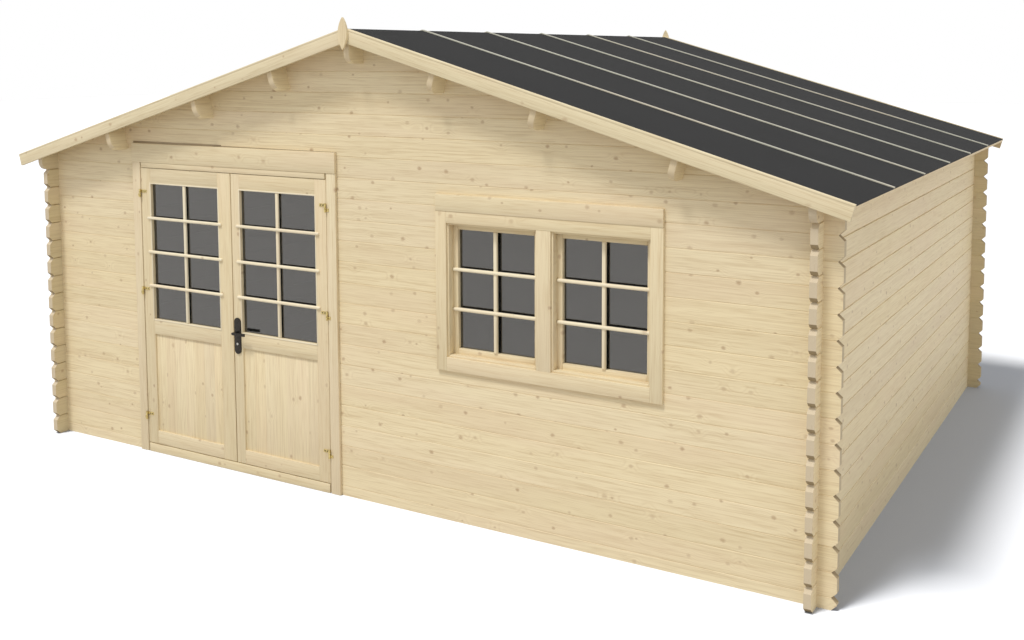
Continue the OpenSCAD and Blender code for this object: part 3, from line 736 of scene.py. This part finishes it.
brass = metal("plated_brass", (0.66, 0.54, 0.25, 1), (0.38, 0.29, 0.11, 1), 0.22)
black_metal = metal("blackened_steel", (0.020, 0.017, 0.015, 1), (0.045, 0.038, 0.032, 1), 0.30, 0.6)
for node, body in (("left_door_hinges", "left_leaf"), ("right_door_hinges", "right_leaf"),
                   ("door_hinge_pins", "house")):
    hinge = ease_edges(from_solid(node + "_plated", node), width=0.0006, sharp=40)
    finish_piece(hinge, body, [brass], [node])
arm_thick, from_tip, screw_gap, screw_out = 0.003, 0.012, 0.020, 0.0004
arm_up, arm_down, to_middle_arm = 0.0145, 0.014, 0.921
arms_low, arms_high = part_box("left_door_hinges")
lowest_arm = arms_low.z + arm_up
arm_heights = lowest_arm, lowest_arm + to_middle_arm, arms_high.z - arm_down
screw_front = leaf_front - arm_thick - screw_out
for side, tip, inward in (("left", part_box("left_door_hinges")[1].x, -1),
                          ("right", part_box("right_door_hinges")[0].x, 1)):
    screw = round_head((tip + inward * from_tip, screw_front, lowest_arm), outward=-1,
                       radius=0.0042, height=0.0012, dish=0.0005)
    steps = [x * X + (z - lowest_arm) * Z for z in arm_heights
             for x in (0.0, inward * screw_gap)]
    screws = join(side + "_hinge_screws", repeated(screw, steps[1:]))
    finish_piece(screws, side + "_leaf", [black_metal])


# Handle
# Blackened lever handle on a long rounded plate, outside and inside, with a
# lock cylinder below the lever and a screw at each end of the plate.
for node, body, ease in (("door_handle_plates", "right_leaf", 0.0025), ("door_lever", "lever", 0.004)):
    part = ease_edges(from_solid(node + "_cast", node), width=ease, segments=3, sharp=40)
    finish_piece(part, body, [black_metal], [node])
low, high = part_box("door_handle_plates")
plate_x = (low.x + high.x) / 2
plate_faces = ((low.y, -1), (high.y, 1))
steel = metal("lock_steel", (0.55, 0.54, 0.52, 1), (0.34, 0.33, 0.31, 1), 0.25)
lock_up, lock_out, screw_in = 0.070, 0.0012, 0.018
locks, screws = [], []
for y, outward in plate_faces:
    locks.append(round_head((plate_x, y + lock_out * outward, low.z + lock_up), outward,
                            radius=0.0085, height=0.0034, dish=0.0008))
    screw = round_head((plate_x, y + screw_out * outward, low.z + screw_in), outward,
                       radius=0.0045, height=0.0014, dish=0.0005)
    screws += repeated(screw, [(high.z - low.z - 2 * screw_in) * Z])
finish_piece(join("lock_cylinder", locks), "right_leaf", [steel])
finish_piece(join("handle_screws", screws), "right_leaf", [black_metal])


# Window frame and sashes
# A rebated spruce frame that clasps the wall boards, with two fixed lights: a
# stepped stop inside each opening, and a glazed sash behind it.
window_wood_z = spruce("window_spruce_z", ALONG_Z, width=0.7, joint=0.2, seed=111.0, pale=joinery_pale)
window_wood_x = spruce("window_spruce_x", ALONG_X, width=0.7, joint=0.2, seed=115.0, pale=joinery_pale)
win_low, win_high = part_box("window_frame")
sash_low, sash_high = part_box("window_sashes")
post, sash_bar, stop, stop_set = 0.095, 0.045, 0.012, 0.014
light_wide = (sash_high.x - sash_low.x - post) / 2
light_right = sash_low.x + light_wide
to_second_light = (light_wide + post) * X


def light_frame(name, front, back, bar, ease):
    """Four lengths round the first light, as wide as bar, with the uprights full height."""
    return framed(
        name,
        [((x, front, sash_low.z), (x + bar, back, sash_high.z)) for x in (sash_low.x, light_right - bar)],
        [((sash_low.x + bar, front, z), (light_right - bar, back, z + bar))
         for z in (sash_low.z, sash_high.z - bar)],
        window_wood_z, window_wood_x, ease)


window = framed(
    "window_frame_joinery",
    [((win_low.x, win_low.y, win_low.z), (sash_low.x, win_high.y, win_high.z)),
     ((light_right, win_low.y, sash_low.z), (light_right + post, win_high.y, sash_high.z)),
     ((sash_high.x, win_low.y, win_low.z), (win_high.x, win_high.y, win_high.z))],
    [((sash_low.x, win_low.y, under), (sash_high.x, win_high.y, over))
     for under, over in ((win_low.z, sash_low.z), (sash_high.z, win_high.z))],
    window_wood_z, window_wood_x)
settle(window, "house", ["window_frame"])
stops = light_frame("window_stops", win_low.y + stop_set, sash_low.y, stop, ease=0.0015)
settle(join("window_stops", repeated(stops, [to_second_light])), "house")
sashes = light_frame("window_sashes_planed", sash_low.y, sash_high.y, sash_bar, ease=0.003)
settle(join("window_sashes_planed", repeated(sashes, [to_second_light])), "house",
       ["window_sashes"])
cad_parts["window_panes"].data.materials[0] = glass
pane_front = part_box("window_panes")[0].y
cross_bar_in, cross_bar_up, between_bars = 0.013, 0.2795, 0.245
cross_out, upright_out, upright_back = 0.017, 0.010, 0.016
first = sash_low.z + cross_bar_up
cross_bar = half_round((sash_low.x + cross_bar_in, sash_low.y - cross_out, first),
                       (light_right - cross_bar_in, sash_low.y, first + bar_high), bar_x)
middle = (sash_low.x + light_right) / 2
upright_bar = half_round((middle - bar_wide / 2, sash_low.y - upright_out, sash_low.z + sash_bar),
                         (middle + bar_wide / 2, pane_front - upright_back, sash_high.z - sash_bar),
                         bar_z, end_round=False)
light_bars = join("window_bars", [upright_bar] + repeated(cross_bar, [between_bars * Z]))
settle(join("window_bars", repeated(light_bars, [to_second_light])), "house")


# Studio
# A plain white floor that fades into a white surround, a broad soft light from the
# front left, a weak one from the right, a lamp for the floor's shadow alone, and the
# camera at the photograph's viewing angle.
bpy.ops.object.select_all(action="DESELECT")
floor_size, see_to = 120.0, 300.0
bpy.ops.mesh.primitive_plane_add(size=floor_size)
ground = bpy.context.object
ground.name = "studio_floor"
ground_paint, tree, shader = new_material("studio_white")
floor_for_walls, floor_in_glass = (0.24, 0.24, 0.24, 1), (0.404, 0.404, 0.404, 1)
floor_in_view = (0.432, 0.455, 0.500, 1)
path = add_node(tree, "LightPath").outputs
bounced = blend_colour(tree, path["Is Glossy Ray"], floor_for_walls, floor_in_glass)
tree.links.new(blend_colour(tree, path["Is Camera Ray"], bounced, floor_in_view), shader["Base Color"])
shader["Roughness"].default_value = 1.0
shader["Specular IOR Level"].default_value = 0.0
ground.data.materials.append(ground_paint)

scene = bpy.context.scene
scene.view_settings.view_transform = "Standard"
world = bpy.data.worlds.new("studio_surround")
scene.world = world
world.use_nodes = True
tree = world.node_tree
path = add_node(tree, "LightPath").outputs
seen = calc(tree, "MAXIMUM", path["Is Camera Ray"], calc(
    tree, "MAXIMUM", path["Is Glossy Ray"], path["Is Transmission Ray"]))
fill_level = 0.72
tree.links.new(calc(tree, "MULTIPLY_ADD", seen, 1.0 - fill_level, fill_level),
               tree.nodes["Background"].inputs["Strength"])
tree.nodes["Background"].inputs["Color"].default_value = (1, 1, 1, 1)

only_floor = bpy.data.collections.new("only_floor")
only_floor.objects.link(ground)
white, warm_white = (1, 1, 1), (1.0, 0.94, 0.855)
for name, energy, colour, spread, towards, receivers in (
        ("key_light", 1.9, white, 12, (0.16, 0.45, -0.88), None),
        ("side_light", 0.3, white, 60, (-0.90, 0.30, -0.30), None),
        ("floor_light", 4.9, warm_white, 12, (0.19, 0.32, -0.88), only_floor)):
    lamp = bpy.data.objects.new(name, bpy.data.lights.new(name, "SUN"))
    scene.collection.objects.link(lamp)
    lamp.data.energy = energy
    lamp.data.color = colour
    lamp.data.angle = math.radians(spread)
    lamp.rotation_mode = "QUATERNION"
    lamp.rotation_quaternion = Vector(towards).to_track_quat("-Z", "Y")
    if receivers:
        lamp.light_linking.receiver_collection = receivers

camera = bpy.data.objects.new("camera", bpy.data.cameras.new("camera"))
scene.collection.objects.link(camera)
scene.camera = camera
azimuth, elevation, roll = math.radians(30.36), math.radians(5.19), math.radians(-0.23)
back = Vector((math.sin(azimuth) * math.cos(elevation), -math.cos(azimuth) * math.cos(elevation),
               math.sin(elevation)))
camera.location = (4.499, -8.158, 2.870)
camera.rotation_mode = "QUATERNION"
camera.rotation_quaternion = (-back).to_track_quat("-Z", "Y") @ Quaternion((0, 0, 1), roll)
camera.data.sensor_width = 36.0
camera.data.lens = 40.93
camera.data.shift_y = -0.1562
camera.data.clip_end = see_to
